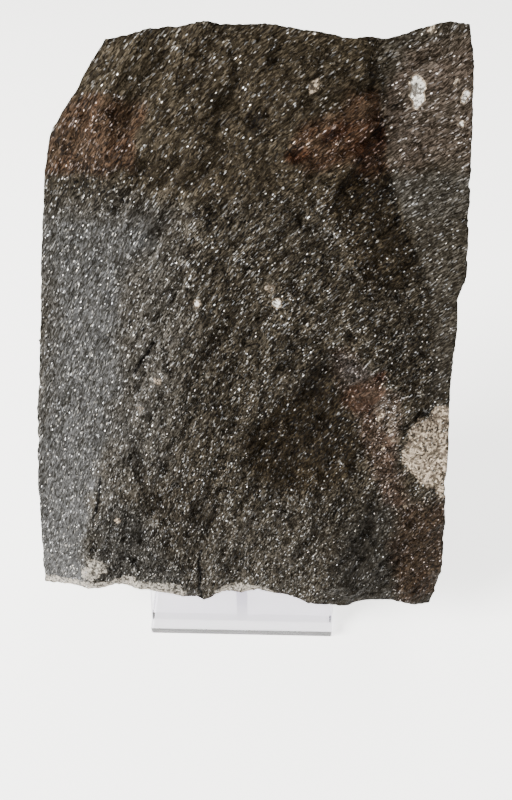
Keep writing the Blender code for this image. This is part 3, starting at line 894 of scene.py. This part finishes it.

# %% [markdown]
# Lamprophyre is a felt of dark mica and amphibole in a little grey feldspar. An image would
# have to be wrapped round the slab, so the shade is worked out in space instead. Each flake
# and finer speck gets its own shade, patches and clouds vary it, and painted shade darkens the
# creases between the grains. The tones of the parts, with their painted light and shade, are
# added, and the cool, warm and stained parts are factors on the colour.

# %% Colour of the groundmass
ROCK_BLACK = (0.0004, 0.0003, 0.0002)
ROCK_DARK = (0.0045, 0.003, 0.0012)
ROCK_MIDDLE = (0.0158, 0.0126, 0.0078)
ROCK_PALE = (0.068, 0.057, 0.041)
ROCK_STOPS = [(0.0, ROCK_BLACK), (0.28, ROCK_DARK), (0.6, ROCK_MIDDLE), (1.0, ROCK_PALE)]
ROCK_COOL = (0.9, 1.06, 1.45)
ROCK_WARM = (1.0, 0.87, 0.66)
STAIN_BROWN = (1.12, 0.64, 0.5)
STAIN_PATCH = Vector((6, 3, 3)) * MM
STAIN_MOST = 1.2
FLAKE_SHADE = 0.36
SPECK_SHADE = 0.74
PATCH_SHADE = 0.34
CREASE_PAINTED_SHADE = 0.28
CREASE_WIDTH = 0.07
CLOUD_SHADE = 0.1
TONE_SHADE = 0.28
MIDDLE_SHADE = 0.545
COARSE_CALM = 0.6
FINE_CALM = 0.2
CREASE_CALM = 0.3
COOL_EVENNESS = 0.2


def creases_at(grain):
    """0 in a sharp crease between two grains, 1 on their backs."""
    wave = noise_at(in_units(grain, CREASE), 1) - 0.5
    return wave.maths("ABSOLUTE", wave).step(0, CREASE_WIDTH)


def ground_shade(wire, grain, flakes, specks):
    """Where the groundmass lies between black, at 0, and its palest grey, at 1."""
    calm = attribute(wire, "calm")
    coarse = 1 - calm * COARSE_CALM
    patches = noise_at(in_units(grain, PATCH), 3, 0.6) - 0.5
    cloud = noise_at(in_units(grain, CLOUD), 2) - 0.5
    shade = (flakes.channel(0) - 0.5) * FLAKE_SHADE * coarse
    shade = shade + (specks.channel(1) - 0.5) * SPECK_SHADE * (1 - calm * FINE_CALM)
    shade = shade + patches * PATCH_SHADE * coarse
    shade = shade * (1 - attribute(wire, "cool").at_least(0) * COOL_EVENNESS)
    # painted shade in the creases between the grains
    shade = shade + (creases_at(grain) - 1) * (1 - calm * CREASE_CALM) * CREASE_PAINTED_SHADE
    return shade + cloud * CLOUD_SHADE + attribute(wire, "tone") * TONE_SHADE + MIDDLE_SHADE


def rock_colour(wire, grain, flakes, specks):
    """The colour of the groundmass and its flakes, before calcite."""
    shade = ground_shade(wire, grain, flakes, specks)
    ground = wire.node("ValToRGB", {"stops": ROCK_STOPS}, {"Fac": shade})
    # the cool factor tints the painted sky reflection of the flank and panel, and the other cool places
    ground = attribute(wire, "cool").blend(ground, ROCK_COOL, "MULTIPLY")
    ground = (attribute(wire, "cool") * -1).blend(ground, ROCK_WARM, "MULTIPLY")
    patchy = noise_at(in_units(grain, STAIN_PATCH), 2).step(0.3, 0.7)
    stain = (attribute(wire, "stain") * (patchy * 0.4 + 0.7)).at_most(STAIN_MOST)
    return stain.blend(ground, STAIN_BROWN, "MULTIPLY")


print("the groundmass runs through", len(ROCK_STOPS), "greys")

# %% [markdown]
# Only a few flakes mirror the light into the eye, and those flash. True mirrors of that size
# would be noisy to render, so a flake whose random number is high gets a painted glint
# instead: a bright, metallic colour. There are long flakes, round sparks, and specks with a
# weak painted gleam. They crowd in patches and thin out where the rock is calm.

# %% Glints of the mica
FLASH_WARM = (0.78, 0.72, 0.62)
FLASH_COLD = (0.74, 0.76, 0.79)
CROWD_PATCHES = 0.12
CROWD_TONE = 0.025
CROWD_CALM = 0.028
FLASH_CHANCE = (1.0, 1.05)
FLASH_ROUND = (0.24, 0.44, 1, 0)
FLASH_POWER = (0, 0.8, 0.35, 1)
SPARK_CHANCE = (0.99, 1.03)
SPARK_ROUND = (0.2, 0.42, 1, 0)
SPARK_POWER = (0, 0.9, 0.3, 1)
GLEAM_CHANCE = (0.96, 1.06)
GLEAM_POWER = 0.18
STAINED_FLASH = 0.6


def glints_at(wire, grain, flakes, specks):
    """How much painted flash there is at a place, and how much painted gleam."""
    calm = attribute(wire, "calm") * CROWD_CALM
    crowd = noise_at(in_units(grain, PATCH), 2) * CROWD_PATCHES
    crowd = crowd + attribute(wire, "tone") * CROWD_TONE - calm
    middle = cells_at(in_units(grain, FLAKE), "Distance")
    flash = (flakes.channel(1) + crowd).step(*FLASH_CHANCE) * middle.step(*FLASH_ROUND)
    flash = flash * flakes.channel(0).step(*FLASH_POWER)
    sparks = cells_at(in_units(grain, SPARK), "Color")
    middle = cells_at(in_units(grain, SPARK), "Distance")
    spark = (sparks.channel(0) + crowd).step(*SPARK_CHANCE) * middle.step(*SPARK_ROUND)
    spark = spark * sparks.channel(1).step(*SPARK_POWER)
    gleam = (specks.channel(2) + crowd).step(*GLEAM_CHANCE) * GLEAM_POWER
    return flash.at_least(spark), gleam


def glint_colour(wire, flakes):
    """The hue of a glint: warm or cold from flake to flake, and browner on a stain."""
    hue = flakes.channel(2).blend(FLASH_WARM, FLASH_COLD)
    stained = (attribute(wire, "stain") * STAINED_FLASH).at_most(1)
    return stained.blend(hue, STAIN_BROWN, "MULTIPLY")


print("sparks are", round(SPARK.x / MM, 2), "by", round(SPARK.y / MM, 2), "mm")

# %% [markdown]
# The calcite is cream in the large patch, with dark grains of the rock showing through, white
# in the small spots and dusty grey along the lower edge. The cracks are narrower than the
# mesh can show, so the material also measures the way to each one and paints shade into its
# middle.

# %% Calcite and cracks
CALCITE_CREAM = (0.33, 0.265, 0.195)
CALCITE_TAN = (0.07, 0.054, 0.04)
CALCITE_DUST = (0.27, 0.25, 0.215)
CALCITE_WHITE = (0.48, 0.455, 0.405)
CALCITE_GRAIN = Vector((0.45 * MM,) * 3)
CALCITE_CROWD = 6
CRUST_TOP = 9 * MM
DUST_SHARE = 0.75
GRAIN_EDGE = (-0.08, 0.24, 0.12, 1)
CREAM_RANGE = (0.1, 0.9)
WHITE_EDGE = (0.8, 1.1)
FARTHEST = 1.0


def calcite_grains(place, border):
    """The share of calcite between its dark grains, which crowd in some places."""
    grains = cells_at(in_units(place, CALCITE_GRAIN), "Color")
    crowd = noise_at(in_units(place, CALCITE_GRAIN * CALCITE_CROWD), 2)
    return (grains.channel(0) - border * 1.5 - crowd * 0.6).step(*GRAIN_EDGE)


def calcite_colour(place, depth, border):
    """Cream in the patch, white inside the small spots and dusty grey along the lower edge."""
    grains = cells_at(in_units(place, CALCITE_GRAIN), "Color")
    cream = grains.channel(1).step(*CREAM_RANGE).blend(CALCITE_TAN, CALCITE_CREAM)
    dusty = place.channel(1).step(CRUST_TOP, CRUST_TOP * 1.5, DUST_SHARE, 0)
    cream = dusty.blend(cream, CALCITE_DUST)
    return (depth + border * 2).step(*WHITE_EDGE).blend(cream, CALCITE_WHITE)


def crack_distance(place):
    """The way to the nearest thin crack of the show face."""
    nearest = FARTHEST
    for crack in CRACKS:
        for start, end in zip(crack, crack[1:]):
            first = Vector((*start, 0)) * MM
            along = Vector((*end, 0)) * MM - first
            here = place.vector("SUBTRACT", place, first)
            here = here.vector("MULTIPLY", here, (1, 1, 0))
            share = here.measure("DOT_PRODUCT", here, along) / along.length_squared
            share = share.at_least(0).at_most(1)
            foot = share.node("VectorMath", {"operation": "SCALE"}, {0: along, "Scale": share})
            away = here.vector("SUBTRACT", here, foot)
            nearest = away.measure("LENGTH", away).at_most(nearest)
    return nearest


print("calcite grains are", round(CALCITE_GRAIN.x / MM, 2), "mm")

# %% [markdown]
# Now the parts come together. The colour is laid down in the order groundmass, glints, cracks
# and calcite. Each flake and speck also gets its own tilt, by way of the normal, so that the
# light finds some of them and leaves the rest dark, and a bump gives the creases their depth.

# %% Material of the rock
FLAKE_TILT = 1.1
SPECK_TILT = 0.7
TILT_CALM = 0.3
HALF_GREY = (0.5, 0.5, 0.5)
BORDER_GRAIN = Vector((1.1, 1.1, 1.1)) * MM
BORDER_REACH = 3.6
CRACK_WANDER = 1.2 * MM
CRACK_FRAY = 0.5 * MM
CRACK_PAINTED_SHADE = (0.15 * MM, 0.38 * MM, 0.85, 0)
BUMP_CREASE = 0.6
BUMP_STRENGTH = 0.8
BUMP_HEIGHT = 0.3 * MM
CALCITE_EDGE = (-0.1, 0.2)
FLAKE_ROUGH = (0, 1, 0.35, 0.7)
FLASH_SHEEN = 0.15
CALCITE_ROUGH = 0.2
FLASH_METAL = 0.8


def broken_normal(wire, grain, flakes, specks):
    """The surface direction with the tilt of each flake and a fine bump."""
    tilt = flakes.vector("SUBTRACT", flakes, HALF_GREY).times(FLAKE_TILT)
    small = specks.vector("SUBTRACT", specks, HALF_GREY).times(SPECK_TILT)
    tilt = tilt.vector("ADD", tilt, small).times(1 - attribute(wire, "calm") * TILT_CALM)
    normal = wire.node("NewGeometry", output="Normal")
    normal = normal.vector("ADD", normal, tilt)
    normal = normal.vector("NORMALIZE", normal)
    fine = noise_at(in_units(grain, SPECK), 2) + creases_at(grain) * BUMP_CREASE
    sockets = {"Strength": BUMP_STRENGTH, "Distance": BUMP_HEIGHT, "Height": fine, "Normal": normal}
    return wire.node("Bump", None, sockets)


def cracks_with_painted_shade(wire, place, border, colour):
    """The colour with painted shade in the thin cracks, which wander a little from their lines."""
    wander = wire.node("TexNoise", None, {"Vector": in_units(place, PATCH), "Scale": 1.0}, "Color")
    wander = wander.vector("SUBTRACT", wander, HALF_GREY).times(CRACK_WANDER)
    crack = crack_distance(place.vector("ADD", place, wander)) + border * CRACK_FRAY
    return crack.step(*CRACK_PAINTED_SHADE).blend(colour, ROCK_BLACK)


def rock_material():
    """The finish of the slab."""
    material, shader, wire = start_material("lamprophyre")
    place = face_place(wire)
    grain = fanned(wire, place)
    flakes = cells_at(in_units(grain, FLAKE), "Color")
    specks = cells_at(in_units(grain, SPECK), "Color")
    flash, gleam = glints_at(wire, grain, flakes, specks)
    colour = rock_colour(wire, grain, flakes, specks)
    colour = gleam.at_least(flash).blend(colour, glint_colour(wire, flakes))

    border = noise_at(in_units(place, BORDER_GRAIN), 5, 0.85) - 0.5
    colour = cracks_with_painted_shade(wire, place, border, colour)
    depth = attribute(wire, "calcite")
    calcite = (depth + border * BORDER_REACH).step(*CALCITE_EDGE)
    share = calcite * calcite_grains(place, border)
    colour = share.blend(colour, calcite_colour(place, depth, border))
    flash = flash * (1 - calcite)

    rough = flakes.channel(2).step(*FLAKE_ROUGH) - flash * FLASH_SHEEN + calcite * CALCITE_ROUGH
    set_shader(material, shader, {
        "Base Color": colour, "Metallic": flash * FLASH_METAL, "Roughness": rough,
        "Normal": broken_normal(wire, grain, flakes, specks), "IOR": 1.5,
        "Specular IOR Level": 0.035})
    return material


rock.data.materials.append(rock_material())
print("rock material has", len(rock.data.materials[0].node_tree.nodes), "nodes")

# %% [markdown]
# The stand is one injection moulding in clear plastic. It keeps its solid, because its shape
# is right, and gets a see-through material: full transmission, the refraction of acrylic, and
# a faint lilac that deepens where the light goes through edge-on. Handling leaves a fine haze
# on such plastic, so its roughness varies a little.

# %% Material of the clear stand
PLASTIC_CLEAR = (0.99, 0.988, 0.995)
PLASTIC_DEEP = (0.76, 0.70, 0.92)
PLASTIC_DENSITY = 60.0
HAZE = Vector((14, 14, 14)) * MM
SCUFF = Vector((0.8, 6, 6)) * MM
HAZE_ROUGH = (0.35, 0.75, 0.015, 0.07)
SCUFF_STRENGTH = 0.02
SCUFF_HEIGHT = 0.05 * MM


def stand_material():
    """The finish of the clear stand."""
    material, shader, wire = start_material("clear_plastic_finish")
    here = wire.node("TexCoord", output="Object")
    haze = noise_at(in_units(here, HAZE), 4, 0.6)
    scuffs = noise_at(in_units(here, SCUFF), 2)
    sockets = {"Strength": SCUFF_STRENGTH, "Distance": SCUFF_HEIGHT, "Height": scuffs + haze}
    normal = wire.node("Bump", None, sockets)
    set_shader(material, shader, {
        "Base Color": PLASTIC_CLEAR, "Transmission Weight": 1.0, "IOR": 1.49,
        "Roughness": haze.step(*HAZE_ROUGH), "Normal": normal})
    volume = wire.node("VolumeAbsorption", None, {"Color": PLASTIC_DEEP, "Density": PLASTIC_DENSITY})
    plug(material.node_tree, material.node_tree.nodes["Material Output"].inputs["Volume"], volume)
    return material


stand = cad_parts["display_stand"]
stand.material_slots[0].material = stand_material()
print("the stand keeps its solid and wears", stand.material_slots[0].material.name)

# %% [markdown]
# The floor is a plain pale sheet, wide enough to fill the view. It belongs to the stage. It
# glows by itself, so that it stays pale under lights that are set for a dark rock, and it lies
# a hair below the clear stand, so that light can pass between the two faces.

# %% Floor
FLOOR_SIZE = 3.0
FLOOR_COLOUR = (0.86, 0.85, 0.82)
FLOOR_SHADE = 0.985
FLOOR_GLOW = 2.4
FLOOR_DROP = 0.15 * MM
FLOOR_CLOUD = Vector((90, 90, 90)) * MM


def floor_material():
    """A pale matt surface with a faint unevenness."""
    material, shader, wire = start_material("pale_floor")
    here = wire.node("TexCoord", output="Object")
    darker = tuple(part * FLOOR_SHADE for part in FLOOR_COLOUR)
    colour = noise_at(in_units(here, FLOOR_CLOUD), 3).step(0.3, 0.7).blend(FLOOR_COLOUR, darker)
    set_shader(material, shader, {
        "Base Color": colour, "Roughness": 0.5,
        "Emission Color": FLOOR_COLOUR, "Emission Strength": FLOOR_GLOW})
    return material


def make_floor():
    """A flat sheet just below the stand's underside."""
    shape = bmesh.new()
    bmesh.ops.create_grid(shape, x_segments=4, y_segments=4, size=FLOOR_SIZE / 2)
    mesh = bpy.data.meshes.new("floor")
    shape.to_mesh(mesh)
    shape.free()
    floor = bpy.data.objects.new("floor", mesh)
    floor.location.z = -FLOOR_DROP
    bpy.context.scene.collection.objects.link(floor)
    mesh.materials.append(floor_material())
    return floor


make_floor()
print("floor is", FLOOR_SIZE, "m wide")

# %% [markdown]
# Mica only sparkles if something bright is there to be mirrored, and only in points if most of
# the surroundings are darker than that. So the light comes from three large soft boxes, a key
# from the left, a dimmer one in front and a weak one behind, under a soft grey sky. Each has
# its place and width in metres and its power in watts.

# %% Lights
LIGHTS = {
    "key": ((-1.0, -0.35, 0.62), 0.55, 70),
    "front": ((0.1, -1.2, 0.6), 0.8, 22),
    "back": ((0.3, 0.9, 0.9), 0.7, 8),
}
AIM = Vector((0, 0, 60 * MM))
SKY_COLOUR = (1.0, 0.99, 0.97)
SKY_STRENGTH = 0.5


def soft_box(name, place, size, watts):
    """A square soft light that faces the slab."""
    data = bpy.data.lights.new(name, "AREA")
    data.size = size
    data.energy = watts
    light = bpy.data.objects.new(name, data)
    light.location = place
    light.rotation_euler = (AIM - Vector(place)).to_track_quat("-Z", "Y").to_euler()
    bpy.context.scene.collection.objects.link(light)


def make_sky():
    """An even sky of one colour."""
    world = bpy.data.worlds.new("studio")
    world.use_nodes = True
    sky = world.node_tree.nodes["Background"]
    plug(world.node_tree, sky.inputs["Color"], SKY_COLOUR)
    plug(world.node_tree, sky.inputs["Strength"], SKY_STRENGTH)
    bpy.context.scene.world = world


for name, (place, size, watts) in LIGHTS.items():
    soft_box(name, place, size, watts)
make_sky()
print(len(LIGHTS), "soft boxes and a grey sky")
